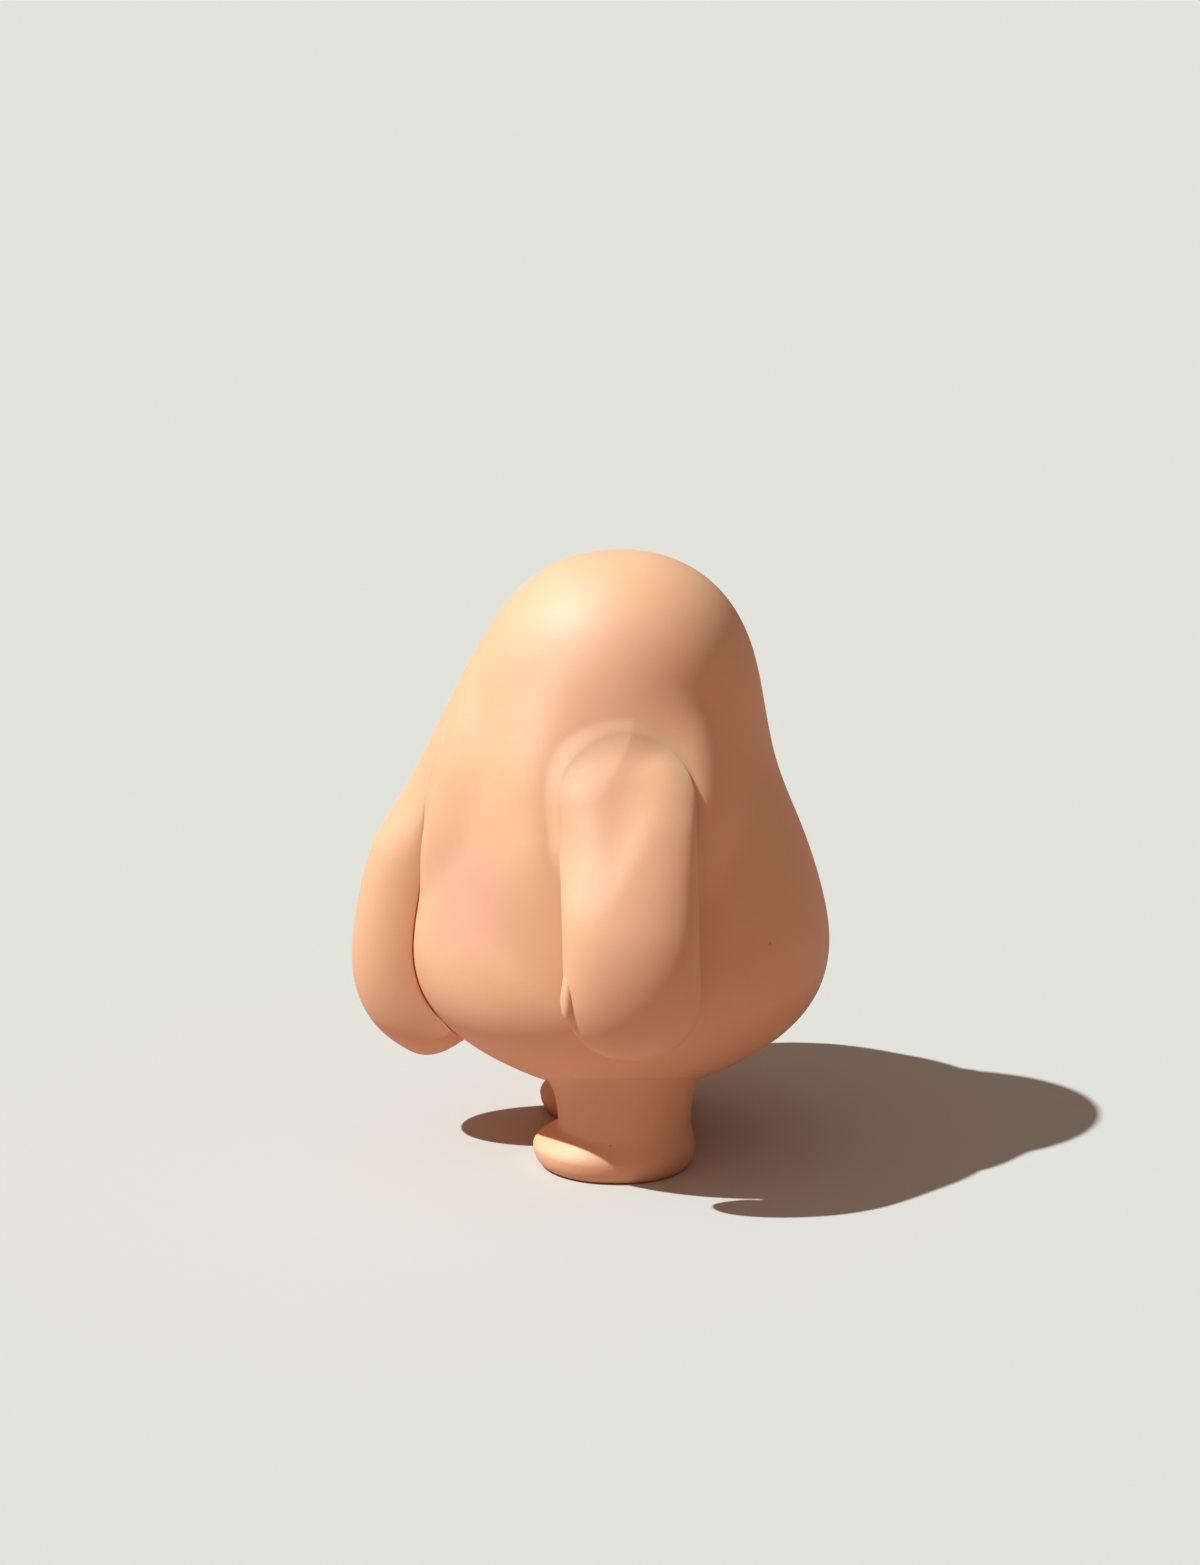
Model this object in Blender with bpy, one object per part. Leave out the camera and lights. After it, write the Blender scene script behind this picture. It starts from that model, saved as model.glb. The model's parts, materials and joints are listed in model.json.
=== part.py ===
"""A pear-shaped vinyl art toy, cast as hollow soft-vinyl pieces that plug together.

The body stands on two short legs and faces -Y. A flat nose hangs from the middle of its front and an arm
hangs on each side. Each of these is a flap: it grows out of a flat round seat on the body and bends to follow
the belly. The arms swivel on their seats; the nose and the legs are fixed.
"""

import math

import bpy
import numpy as np

MM = 0.001

# Overall sizes
HEIGHT = 173 * MM
BELLY_RADIUS = 60.6 * MM  # from the axis to the back of the belly
WALL = 3.0 * MM  # thickness of the cast vinyl
GAP = 0.3 * MM  # clearance between pieces that touch

# The body's outline as shares of its belly radius and of its height above the crotch, top to bottom
CROTCH_HEIGHT = 18 * MM
BODY_OUTLINE = (
    (0.000, 1.000),
    (0.260, 0.983),
    (0.480, 0.923),
    (0.600, 0.845),
    (0.672, 0.735),
    (0.745, 0.605),
    (0.865, 0.486),
    (0.965, 0.366),
    (1.000, 0.264),
    (0.953, 0.187),
    (0.822, 0.121),
    (0.620, 0.065),
    (0.380, 0.020),
    (0.160, 0.003),
    (0.000, 0.000),
)
# The front of the chest is fuller than a turned shape
CHEST_FULLNESS = 8 * MM
CHEST_HEIGHT = 117 * MM
CHEST_SPREAD = 20 * MM

# Where the flaps' round seats lie: height of the centre, tilt of the seat's face upwards, and how far the
# face stands proud of the turned body
SHOULDER_HEIGHT = 112 * MM
SHOULDER_TILT = math.radians(18.5)
SHOULDER_PROUD = 1.8 * MM
SHOULDER_TURN = math.radians(-3.6)  # how far the seat's face looks forward of straight out
NOSE_HEIGHT = 112 * MM
NOSE_TILT = math.radians(14)
NOSE_PROUD = -1.4 * MM
SEAT_EDGE = 0.5 * MM  # thickness of a flap's edge where it leaves its seat
SEAT_FILLET = 20 * MM  # width of the slope that leads up to a seat
FLAP_CLEARANCE = 1.2 * MM  # between the body and the part of a flap that hangs past its seat
LOOSE_FROM = 0.55  # share of the seat's radius past its centre where a flap starts to come off the body
RIM_SHARE = 0.45  # height of a hanging flap's widest line over its inner face, as a share of its thickness
UNDERSIDE_POWER = 0.7  # below 1, an underside is flat in its middle and turns up sharply at its edges
HOLLOW_INSET = 1.5 * WALL  # wall at the flaps' edges
HOLLOW_END = 1.2 * WALL  # wall at their tips
THINNEST_HOLLOW = 0.25 * WALL  # half the height of a hollow where its flap is thin

# Arm: all sizes along the arm are measured from the joint's axis
ARM_HALF_WIDTH = 18.2 * MM
ARM_LENGTH = 69.5 * MM
ARM_STRAIGHT = 36 * MM  # the straight run before the arm bends in along the belly
ARM_BEND_RADIUS = 52 * MM
ARM_THICKNESS = 13 * MM
ARM_DRIFT = 1.0 * MM  # how far the hand hangs behind the shoulder
THUMB_LENGTH = 7.5 * MM
THUMB_WIDTH = 4.4 * MM
THUMB_DEPTH = 6.6 * MM
FORWARD = -1.0  # the sign of "towards the front" in an arm seat's across direction

# Nose
NOSE_HALF_WIDTH = 16 * MM
NOSE_LENGTH = 87 * MM
NOSE_STRAIGHT = 30 * MM
NOSE_BEND_RADIUS = 64 * MM
NOSE_THICKNESS = 18 * MM
NOSE_END_ROUND = 8 * MM

# Plug joints: a neck moulded on each flap passes through a hole in the body and takes a retainer inside it
ARM_NECK_RADIUS = 8 * MM
NOSE_NECK_RADIUS = 6 * MM
NOSE_NECK_DROP = 8.5 * MM  # from the middle of the nose's seat down to its neck
NECK_WALL = 2.5 * MM
NECK_ROOT = 1.8 * MM  # how far a neck reaches up into its flap
PASSAGE_RADIUS = 2.5 * MM  # the opening from a neck's bore into its flap's hollow
SEAT_DEPTH = 7 * MM  # from the seat's face to the flat inside the shell
RING_THICKNESS = 1.6 * MM
RETAINER_THICKNESS = 2.4 * MM
RETAINER_LIP = 4.5 * MM  # how far ring and retainer reach past the neck
STEM_LENGTH = 7 * MM

# Legs
LEG_BACK = 1.7 * MM  # how far the legs stand behind the body's axis
ANKLE_RADIUS = 19 * MM
ANKLE_HEIGHT = 12.5 * MM
FOOT_RADIUS = 20.2 * MM
FOOT_HEIGHT = 5.5 * MM  # height of the foot's widest part
TOE_LENGTH = 6.0 * MM  # how far the toe reaches past the round of the foot
TOE_SOLE = 0.7  # how much of that its sole reaches
SOLE_RADIUS = 18 * MM
LEG_FILLET = 3.2 * MM
LEG_SPREAD = max(ANKLE_RADIUS + LEG_FILLET, FOOT_RADIUS) + GAP  # from the middle to each leg's centre
LEG_CLEARANCE = 0.5 * MM  # under the belly, which the leg's cap follows
LEG_NECK_RADIUS = 5.5 * MM
LEG_RETAINER_LIP = 1.5 * MM
WEIGHT_RADIUS = 11 * MM
WEIGHT_THICKNESS = 4 * MM

BODY_ROWS = 30
BODY_COLUMNS = 48
CAVITY_ROWS = 18
CAVITY_COLUMNS = 28
FLAP_ROWS = 22
FLAP_COLUMNS = 20
HOLLOW_ROWS = 13
HOLLOW_COLUMNS = 14
THUMB_ROWS = 9
THUMB_COLUMNS = 10
ROUND_STEPS = 24
CAP_RINGS = 9
LEG_COLUMNS = 32


# ---------------------------------------------------------------- materials and meshes


def clear_scene():
    for obj in list(bpy.data.objects):
        bpy.data.objects.remove(obj, do_unlink=True)


def make_material(name, colour, roughness, metallic=0.0):
    """A Principled material of one colour."""
    made = bpy.data.materials.new(name)
    made.use_nodes = True
    shader = made.node_tree.nodes["Principled BSDF"]
    shader.inputs["Base Color"].default_value = (*colour, 1.0)
    shader.inputs["Roughness"].default_value = roughness
    shader.inputs["Metallic"].default_value = metallic
    made.diffuse_color = (*colour, 1.0)
    return made


def make_object(name, points, faces, made_of, parent, origin=(0, 0, 0)):
    """A mesh object whose points are given in the figure's frame and whose own origin is set apart."""
    mesh = bpy.data.meshes.new(name)
    mesh.from_pydata((np.asarray(points) - np.asarray(origin)).tolist(), [], faces)
    mesh.materials.append(made_of)
    mesh.shade_smooth()
    mesh.set_sharp_from_angle(angle=math.radians(50))
    obj = bpy.data.objects.new(name, mesh)
    bpy.context.scene.collection.objects.link(obj)
    obj.parent = parent
    obj.location = origin
    return obj


def make_cutter(name, points, faces, made_of, parent):
    cutter = make_object(name, points, faces, made_of, parent)
    cutter.hide_render = True
    cutter.display_type = "WIRE"
    return cutter


def combine(obj, other, operation, solver="EXACT"):
    modifier = obj.modifiers.new(f"{operation} {other.name}", "BOOLEAN")
    modifier.operation = operation
    modifier.object = other
    modifier.solver = solver


def closed_grid(points):
    """Points and triangles of rows x columns rings whose first and last rows shrink to one point each.

    The rings run anticlockwise when seen from the first row's side, so the faces point outwards.
    """
    rows, columns = points.shape[:2]
    inner = points[1:-1].reshape(-1, 3)
    all_points = np.vstack([points[0, :1], inner, points[-1, :1]])
    last = len(all_points) - 1
    following = np.roll(np.arange(columns), -1)
    faces = []
    for column in range(columns):
        beside = following[column]
        faces.append((0, 1 + column, 1 + int(beside)))
        for row in range(rows - 3):
            upper = 1 + row * columns
            lower = upper + columns
            faces.append((upper + column, lower + column, lower + int(beside)))
            faces.append((upper + column, lower + int(beside), upper + int(beside)))
        bottom = 1 + (rows - 3) * columns
        faces.append((bottom + column, last, bottom + int(beside)))
    return all_points, faces


def turned(profile, frame):
    """A solid turned about the frame's axis.

    The profile lists (radius, height along the axis) from the top of the axis down to its bottom, or round a
    ring's section when no radius is 0.
    """
    profile = np.asarray(profile, float)
    angles = np.linspace(0, 2 * math.pi, ROUND_STEPS, endpoint=False)
    radius, height = profile[:, :1], profile[:, 1:]
    points = np.stack(np.broadcast_arrays(radius * np.cos(angles), radius * np.sin(angles), height), axis=-1)
    points = points @ frame.turn_about.T + frame.origin
    if profile[0, 0] == 0:
        return closed_grid(points)
    return ring_grid(points)


def ring_grid(points):
    """Points and faces of a grid that closes on itself both ways, as a ring's surface does."""
    rows, columns = points.shape[:2]
    faces = []
    for row in range(rows):
        below = (row + 1) % rows
        for column in range(columns):
            beside = (column + 1) % columns
            here, under = row * columns, below * columns
            faces.append((here + column, under + column, under + beside, here + beside))
    return points.reshape(-1, 3), faces


def curve_through(controls, places):
    """Values of a smooth (Catmull-Rom) curve that passes each control at a whole number."""
    controls = np.asarray(controls, float)
    before = 2 * controls[:1] - controls[1:2]
    after = 2 * controls[-1:] - controls[-2:-1]
    padded = np.concatenate([before, controls, after])
    places = np.clip(places, 0, len(controls) - 1)
    span = np.minimum(places.astype(int), len(controls) - 2)
    t = (places - span)[:, None]
    p0, p1, p2, p3 = (padded[span + k] for k in range(4))
    square = 2 * p0 - 5 * p1 + 4 * p2 - p3
    cube = 3 * p1 - p0 - 3 * p2 + p3
    return 0.5 * (2 * p1 + (p2 - p0) * t + square * t**2 + cube * t**3)


def values_through(controls, at):
    """Smooth values at the given places, through (place, value) controls with easy slopes between them."""
    places = np.array([place for place, _ in controls], float)
    values = np.array([value for _, value in controls], float)
    slopes = np.gradient(values, places)
    slopes[0] = 0.0
    at = np.clip(at, places[0], places[-1])
    span = np.clip(np.searchsorted(places, at, side="right") - 1, 0, len(places) - 2)
    length = places[span + 1] - places[span]
    t = (at - places[span]) / length
    rise = values[span + 1] - values[span]
    start = slopes[span] * length
    end = slopes[span + 1] * length
    return values[span] + start * t + (3 * rise - 2 * start - end) * t**2 + (start + end - 2 * rise) * t**3


# ---------------------------------------------------------------- the body's surface


def body_outline(places):
    """(radius, height) at places from 0, the crown, to 1, the crotch."""
    shares = list(BODY_OUTLINE)
    crown_mirror = (-shares[1][0], shares[1][1])
    crotch_mirror = (-shares[-2][0], shares[-2][1])
    controls = np.array([crown_mirror, *shares, crotch_mirror])
    along = 1 + places * (len(shares) - 1)
    found = curve_through(controls, along)
    radius = np.maximum(found[:, 0], 0) * BELLY_RADIUS
    height = CROTCH_HEIGHT + found[:, 1] * (HEIGHT - CROTCH_HEIGHT)
    return radius, height


def turned_body(rows, columns, inset=0.0):
    """Grid of the body's surface before seats are raised on it, moved in along its outline's normal."""
    places = np.linspace(0, 1, rows)
    radius, height = body_outline(places)
    along_r = np.gradient(radius)
    along_z = np.gradient(height)
    along_z[0] = along_z[-1] = 0.0
    length = np.hypot(along_r, along_z)
    radius = np.where((places > 0) & (places < 1), radius + inset * along_z / length, 0.0)
    height = height - inset * along_r / length
    angles = np.linspace(0, 2 * math.pi, columns, endpoint=False)
    fuller = chest_fullness(height[:, None], angles)
    out = radius[:, None] + fuller * (radius[:, None] > 0)
    across, back = out * np.sin(angles), -out * np.cos(angles)
    return np.stack(np.broadcast_arrays(across, back, height[:, None]), axis=-1)


def chest_fullness(height, angles):
    """How much fuller the front is than the turned shape: a bell over height, fading from front to sides."""
    bell = np.exp(-(((height - CHEST_HEIGHT) / CHEST_SPREAD) ** 2) / 2)
    return CHEST_FULLNESS * bell * np.clip(np.cos(angles), 0, 1) ** 2


class Seat:
    """A flat round seat on the body: its centre, its axis pointing out, and the ways down and across."""

    def __init__(self, height, tilt, turn_from_front, proud, radius):
        places = np.linspace(0, 1, 400)
        outline_radius, outline_height = body_outline(places)
        reach = np.interp(-height, -outline_height, outline_radius)
        reach += chest_fullness(height, np.array(turn_from_front))
        level = np.array([math.sin(turn_from_front), -math.cos(turn_from_front), 0.0])
        up = np.array([0.0, 0.0, 1.0])
        self.axis = level * math.cos(tilt) + up * math.sin(tilt)
        self.down = level * math.sin(tilt) - up * math.cos(tilt)
        self.across = np.cross(self.axis, self.down)
        self.origin = level * reach + up * height + self.axis * proud
        self.turn_about = np.stack([self.down, self.across, self.axis], axis=1)
        self.radius = radius

    def lifted(self, points):
        """Points raised along the axis: flat inside the seat, easing back to the body over the fillet."""
        local = (points - self.origin) @ self.turn_about
        from_axis = np.hypot(local[..., 0], local[..., 1])
        eased = np.clip(1 - (from_axis - self.radius) / SEAT_FILLET, 0, 1) ** 2
        on_this_side = points @ self.axis > 0
        return points + self.axis * (-local[..., 2:] * (eased * on_this_side)[..., None])


def shoulder_seat():
    return Seat(SHOULDER_HEIGHT, SHOULDER_TILT, math.pi / 2 - SHOULDER_TURN, SHOULDER_PROUD, ARM_HALF_WIDTH)


def nose_seat():
    return Seat(NOSE_HEIGHT, NOSE_TILT, 0.0, NOSE_PROUD, NOSE_HALF_WIDTH)


def mirrored(points):
    return points * np.array([-1.0, 1.0, 1.0])


def on_side(points, sign):
    """A grid for the +X side, or its mirror image with its rings turned round so that it still faces out."""
    return points if sign > 0 else mirrored(points)[:, ::-1]


def body_surface(rows, columns):
    """The turned body with the three seats raised on it."""
    points = turned_body(rows, columns)
    shoulder = shoulder_seat()
    points = shoulder.lifted(points)
    points = mirrored(shoulder.lifted(mirrored(points)))
    return nose_seat().lifted(points)


# ---------------------------------------------------------------- flaps


class Flap:
    """A flat tongue that starts on a seat, hangs straight and then bends in round an arc.

    Its thickness along its length is a list of (distance from the axis, thickness) controls. Its inner face
    is flat on the seat; further on its edges are round.
    """

    def __init__(self, seat, length, straight, bend_radius, thickness, end_round, drift):
        self.seat = seat
        self.length = length
        self.straight = straight
        self.bend_radius = bend_radius
        self.thickness = thickness
        self.end_round = end_round
        self.drift = drift

    def spine(self, along):
        """Place on the inner face's middle line, and the direction out of the flap there."""
        angle = np.maximum(along - self.straight, 0) / self.bend_radius
        down = np.minimum(along, self.straight) + self.bend_radius * np.sin(angle)
        out = -self.bend_radius * (1 - np.cos(angle))
        return down, out, np.sin(angle), np.cos(angle)

    def clearance(self, along):
        """How far past its seat a place is, from 0 to 1, and the gap to the body there."""
        loose = np.clip(along / self.seat.radius - LOOSE_FROM, 0, 1)
        loose = loose**2 * (3 - 2 * loose)
        return loose, GAP + (FLAP_CLEARANCE - GAP) * loose

    def placed(self, along, across, height):
        """Points in the figure's frame, from places along and across and heights over the inner face."""
        down, out, lean_down, lean_out = self.spine(along)
        sideways = across + self.drift * np.clip(along / self.length, 0, 1) ** 2
        local = np.stack([down + height * lean_down, sideways, out + height * lean_out], axis=-1)
        return local @ self.seat.turn_about.T + self.seat.origin

    def surface(self, rows, columns):
        """Grid of the flap, from the top of its seat to its tip."""
        half_width = self.seat.radius
        places = np.linspace(0, math.pi, rows)[:, None]
        along = 0.5 * (self.length - half_width) - 0.5 * (self.length + half_width) * np.cos(places)
        top = np.sqrt(np.clip(1 - (np.minimum(along, 0) / half_width) ** 2, 0, 1))
        end_place = np.clip((along - (self.length - self.end_round)) / self.end_round, 0, 1)
        width = half_width * top * np.sqrt(1 - end_place**2)
        thick = SEAT_EDGE + values_through(self.thickness, along) * np.sqrt(1 - end_place**4)
        loose, clear = self.clearance(along)
        rim = SEAT_EDGE + RIM_SHARE * thick * loose
        angles = np.linspace(2 * math.pi, 0, columns, endpoint=False)
        rise = np.sin(angles)
        outer = rim + (thick - rim) * np.abs(rise) ** (2 - loose)
        inner = rim * (1 - np.abs(rise) ** UNDERSIDE_POWER)
        height = clear + np.where(rise >= 0, outer, inner)
        return self.placed(np.broadcast_to(along, height.shape), width * np.cos(angles), height)

    def hollow(self, start, rows, columns):
        """Grid of the space inside, a wall's thickness from the surface, from a place down the flap."""
        polar = np.linspace(0, math.pi, rows)[:, None]
        end = self.length - HOLLOW_END
        along = 0.5 * (start + end) - 0.5 * (end - start) * np.cos(polar)
        swell = np.sqrt(np.sin(polar))
        swell[-1] = 0.0
        half_width = (self.seat.radius - HOLLOW_INSET) * swell
        thick = values_through(self.thickness, along)
        half_thick = np.maximum(thick / 2 - WALL, THINNEST_HOLLOW) * swell
        angles = np.linspace(2 * math.pi, 0, columns, endpoint=False)
        height = self.clearance(along)[1] + thick / 2 + half_thick * np.sin(angles)
        return self.placed(np.broadcast_to(along, height.shape), half_width * np.cos(angles), height)


def arm_flap():
    thickness = (
        (-ARM_HALF_WIDTH, 0.0),
        (-0.4 * ARM_HALF_WIDTH, 0.25 * ARM_THICKNESS),
        (0.3 * ARM_HALF_WIDTH, 0.62 * ARM_THICKNESS),
        (0.45 * ARM_LENGTH, 1.0 * ARM_THICKNESS),
        (0.8 * ARM_LENGTH, 0.98 * ARM_THICKNESS),
        (ARM_LENGTH, 0.8 * ARM_THICKNESS),
    )
    seat = shoulder_seat()
    return Flap(seat, ARM_LENGTH, ARM_STRAIGHT, ARM_BEND_RADIUS, thickness, ARM_HALF_WIDTH, ARM_DRIFT)


def nose_flap():
    thickness = (
        (-NOSE_HALF_WIDTH, 0.0),
        (0.0, 0.2 * NOSE_THICKNESS),
        (0.14 * NOSE_LENGTH, 0.5 * NOSE_THICKNESS),
        (0.25 * NOSE_LENGTH, 0.68 * NOSE_THICKNESS),
        (0.5 * NOSE_LENGTH, 0.78 * NOSE_THICKNESS),
        (0.78 * NOSE_LENGTH, 1.0 * NOSE_THICKNESS),
        (0.9 * NOSE_LENGTH, 0.92 * NOSE_THICKNESS),
        (NOSE_LENGTH, 0.72 * NOSE_THICKNESS),
    )
    return Flap(nose_seat(), NOSE_LENGTH, NOSE_STRAIGHT, NOSE_BEND_RADIUS, thickness, NOSE_END_ROUND, 0.0)


def thumb_surface(flap):
    """An egg-shaped thumb on the front edge of the hand, its round end down."""
    along = np.array([flap.length - 1.05 * flap.end_round])
    down, out, lean_down, lean_out = (float(value[0]) for value in flap.spine(along))
    middle_rise = RIM_SHARE * ARM_THICKNESS
    middle = np.array([down + middle_rise * lean_down, 0.0, out + middle_rise * lean_out])
    middle[1] = FORWARD * (flap.seat.radius - 0.25 * THUMB_WIDTH) + flap.drift
    polar = np.linspace(0, math.pi, THUMB_ROWS)[:, None]
    angles = np.linspace(2 * math.pi, 0, THUMB_COLUMNS, endpoint=False)[None, :]
    stretch_down = -np.cos(polar) * THUMB_LENGTH * np.ones_like(angles)
    across = np.sin(polar) * np.cos(angles) * THUMB_WIDTH / 2
    outward = np.sin(polar) * np.sin(angles) * THUMB_DEPTH / 2
    local = np.stack(
        [
            stretch_down * lean_out + outward * lean_down,
            across,
            outward * lean_out - stretch_down * lean_down,
        ],
        axis=-1,
    )
    return (local + middle) @ flap.seat.turn_about.T + flap.seat.origin


# ---------------------------------------------------------------- legs


def belly_height(across, back):
    """Height of the body's underside at a place under the belly."""
    places = np.linspace(0.5, 1, 300)
    radius, height = body_outline(places)
    return np.interp(np.hypot(across, back), radius[::-1], height[::-1])


def floor_height():
    """Height of the flat bottom inside the body, where it is wide enough for both leg retainers."""
    reach = LEG_SPREAD + LEG_NECK_RADIUS + LEG_RETAINER_LIP + 2 * WALL
    return float(belly_height(reach, LEG_BACK)) + WALL


def leg_surface(columns):
    """Grid of the leg at +X, from the middle of the cap that follows the belly down to its sole's middle."""
    angles = np.linspace(0, 2 * math.pi, columns, endpoint=False)
    toe = TOE_LENGTH * np.clip(-np.sin(angles), 0, 1) ** 1.5
    rings = []

    def add_ring(reach, height=None):
        across = LEG_SPREAD + reach * np.cos(angles)
        back = LEG_BACK + reach * np.sin(angles)
        if height is None:
            height = belly_height(across, back) - LEG_CLEARANCE
        rings.append(np.stack(np.broadcast_arrays(across, back, height), axis=-1))

    # The cap under the belly
    for share in np.linspace(0, 1, CAP_RINGS)[:-1]:
        add_ring(share * (ANKLE_RADIUS + LEG_FILLET))
    # A quarter round from the belly down into the ankle
    for turn in np.linspace(math.pi / 2, 0, 5)[:-1]:
        reach = ANKLE_RADIUS + LEG_FILLET * (1 - math.cos(turn))
        belly = belly_height(LEG_SPREAD + reach * np.cos(angles), LEG_BACK + reach * np.sin(angles)) - LEG_CLEARANCE
        add_ring(reach, ANKLE_HEIGHT + (belly - ANKLE_HEIGHT) * math.sin(turn))
    # The ankle eases out to the foot's widest part, with the toe in front
    for share in np.linspace(0, 1, 6)[:-1]:
        eased = share * share * (3 - 2 * share)
        add_ring(
            ANKLE_RADIUS + (FOOT_RADIUS - ANKLE_RADIUS + toe) * eased,
            ANKLE_HEIGHT + (FOOT_HEIGHT - ANKLE_HEIGHT) * share,
        )
    # A quarter round down to the sole
    for turn in np.linspace(0, math.pi / 2, 5):
        round_of_foot = SOLE_RADIUS + (FOOT_RADIUS - SOLE_RADIUS) * math.cos(turn)
        round_of_toe = toe * (TOE_SOLE + (1 - TOE_SOLE) * math.cos(turn))
        add_ring(round_of_foot + round_of_toe, FOOT_HEIGHT * (1 - math.sin(turn)))
    add_ring(0.5 * SOLE_RADIUS, 0.0)
    add_ring(0.0, 0.0)
    return np.stack(rings)


# ---------------------------------------------------------------- building


class Figure:
    """Builds every piece under one empty, which stands the figure over the middle of its own box."""

    def __init__(self):
        self.root = bpy.data.objects.new("figure", None)
        bpy.context.scene.collection.objects.link(self.root)
        self.vinyl = make_material("peach_soft_vinyl", (0.95, 0.66, 0.45), 0.5)
        self.joint_plastic = make_material("white_joint_plastic", (0.82, 0.82, 0.79), 0.4)
        self.rubber = make_material("black_rubber", (0.03, 0.03, 0.03), 0.8)
        self.steel = make_material("zinc_plated_steel", (0.62, 0.62, 0.60), 0.35, 1.0)

    def solid(self, name, grid, made_of, origin=(0, 0, 0)):
        return make_object(name, *grid, made_of, self.root, origin)

    def cutter(self, name, grid):
        return make_cutter(name, *grid, self.vinyl, self.root)


def cylinder(frame, radius, top, bottom):
    """A closed cylinder about a frame's axis, from one height along it to another."""
    return turned(((0, top), (radius, top), (radius, bottom), (0, bottom)), frame)


def ring(frame, inner, outer, top, bottom):
    return turned(((outer, top), (outer, bottom), (inner, bottom), (inner, top)), frame)


def retainer(frame, neck_radius, top):
    """A mushroom: a stem that plugs the neck's bore and a head that holds the neck in its hole."""
    bore = neck_radius - NECK_WALL - GAP
    return turned(
        (
            (0, top + STEM_LENGTH),
            (bore, top + STEM_LENGTH),
            (bore, top),
            (neck_radius + RETAINER_LIP, top),
            (neck_radius + RETAINER_LIP, top - RETAINER_THICKNESS),
            (0, top - RETAINER_THICKNESS),
        ),
        frame,
    )


class Mirror:
    """A seat's frame reflected to the other side."""

    def __init__(self, seat):
        flip = np.array([-1.0, 1.0, 1.0])
        self.origin = seat.origin * flip
        self.turn_about = seat.turn_about * flip[:, None]
        self.turn_about[:, 1] *= -1


class Upright:
    """A frame that stands upright at one place."""

    def __init__(self, across, back):
        self.origin = np.array([across, back, 0.0])
        self.turn_about = np.eye(3)


def neck_bottom(ring_thickness):
    """Where a neck ends, below its seat's face."""
    return -(SEAT_DEPTH + GAP + ring_thickness + GAP)


def build_body(figure, frames):
    """The cast shell: hollow, with a flat inside each seat and a hole for each neck.

    The EXACT solver leaves edges open on a grid this fine with flat seats, so these Booleans use MANIFOLD.
    """
    body = figure.solid("body_shell", closed_grid(body_surface(BODY_ROWS, BODY_COLUMNS)), figure.vinyl)
    cavity_points = turned_body(CAVITY_ROWS, CAVITY_COLUMNS, inset=WALL)
    cavity_points[..., 2] = np.maximum(cavity_points[..., 2], floor_height())
    cavity = figure.cutter("body_cavity", closed_grid(cavity_points))
    for name, (frame, neck_radius) in frames.items():
        pad = cylinder(frame, neck_radius + RETAINER_LIP + 2 * GAP, 3 * WALL, -SEAT_DEPTH)
        combine(cavity, figure.cutter(f"{name}_pad", pad), "DIFFERENCE", "MANIFOLD")
    for name, (frame, neck_radius) in frames.items():
        hole = cylinder(frame, neck_radius + GAP, WALL, -SEAT_DEPTH - WALL)
        combine(cavity, figure.cutter(f"{name}_hole", hole), "UNION", "MANIFOLD")
    for side, sign in (("left", 1), ("right", -1)):
        frame = Upright(sign * LEG_SPREAD, LEG_BACK)
        hole = cylinder(frame, LEG_NECK_RADIUS + GAP, floor_height() + WALL, ANKLE_HEIGHT)
        combine(cavity, figure.cutter(f"{side}_leg_hole", hole), "UNION", "MANIFOLD")
    combine(body, cavity, "DIFFERENCE", "MANIFOLD")


def build_flap(figure, name, flap, frame, neck_radius, neck_end, hollow_start, sign, thumb=None):
    """A hollow flap with a neck on its seat side that is open to its hollow."""

    def grid_of(points):
        return closed_grid(on_side(points, sign))

    made = figure.solid(name, grid_of(flap.surface(FLAP_ROWS, FLAP_COLUMNS)), figure.vinyl, frame.origin)
    neck = figure.cutter(f"{name}_neck", cylinder(frame, neck_radius, NECK_ROOT, neck_end))
    combine(made, neck, "UNION")
    if thumb is not None:
        combine(made, figure.cutter(f"{name}_thumb", grid_of(thumb)), "UNION")
    hollow = figure.cutter(f"{name}_hollow", grid_of(flap.hollow(hollow_start, HOLLOW_ROWS, HOLLOW_COLUMNS)))
    combine(made, hollow, "DIFFERENCE")
    bore_radius = neck_radius - NECK_WALL
    passage_top = 1.5 * WALL
    passage = turned(
        (
            (0, passage_top),
            (PASSAGE_RADIUS, passage_top),
            (PASSAGE_RADIUS, -GAP),
            (bore_radius, -GAP),
            (bore_radius, neck_end - WALL),
            (0, neck_end - WALL),
        ),
        frame,
    )
    combine(made, figure.cutter(f"{name}_passage", passage), "DIFFERENCE")


def build_arm(figure, side_name, sign):
    seat = shoulder_seat()
    frame = seat if sign > 0 else Mirror(seat)
    flap = arm_flap()
    neck_end = neck_bottom(RING_THICKNESS)
    thumb = thumb_surface(flap)
    build_flap(figure, f"{side_name}_arm", flap, frame, ARM_NECK_RADIUS, neck_end, 0.0, sign, thumb)
    ring_top = -SEAT_DEPTH - GAP
    friction_ring = ring(
        frame, ARM_NECK_RADIUS + GAP, ARM_NECK_RADIUS + RETAINER_LIP, ring_top, ring_top - RING_THICKNESS
    )
    figure.solid(f"{side_name}_arm_friction_ring", friction_ring, figure.rubber)
    plug = retainer(frame, ARM_NECK_RADIUS, neck_end - GAP)
    figure.solid(f"{side_name}_arm_retainer", plug, figure.joint_plastic, frame.origin)


def nose_neck_frame():
    """The nose's neck lies low on its seat, where the nose is thick enough to be hollow."""
    seat = nose_seat()
    seat.origin = seat.origin + seat.down * NOSE_NECK_DROP
    return seat


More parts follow.
